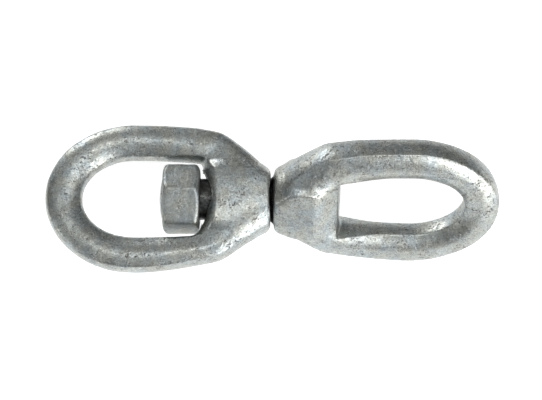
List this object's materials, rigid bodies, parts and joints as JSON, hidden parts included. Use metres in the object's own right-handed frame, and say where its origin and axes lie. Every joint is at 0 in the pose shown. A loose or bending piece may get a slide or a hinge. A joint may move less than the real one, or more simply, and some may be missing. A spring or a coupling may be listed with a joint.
{
  "type": "eye-and-eye chain swivel",
  "caption": "Forged galvanised eye-and-eye swivel: two oval eyes joined by a turning shank held by a hex nut inside one eye.",
  "frame": {"origin": "on the swivel axis, midway between the two crowns, in the gap between the two heads", "axes": "+X along the swivel axis from the bow eye towards the shank eye, +Z square to the flat of the bow eye"},
  "size_m": [0.22, 0.073, 0.0674],
  "materials": {
    "galvanised_forging": "rough hot-dip zinc, semi-bright",
    "galvanised_nut": "smooth zinc, dull"
  },
  "bodies": {
    "bow": {"bow_eye": "galvanised_forging"},
    "shank": {"shank_eye": "galvanised_forging", "hex_nut": "galvanised_nut"}
  },
  "joints": [
    {"name": "swivel", "type": "hinge", "parent": "bow", "child": "shank", "pos_m": [0, 0, 0], "axis": [1, 0, 0], "continuous": true}
  ]
}
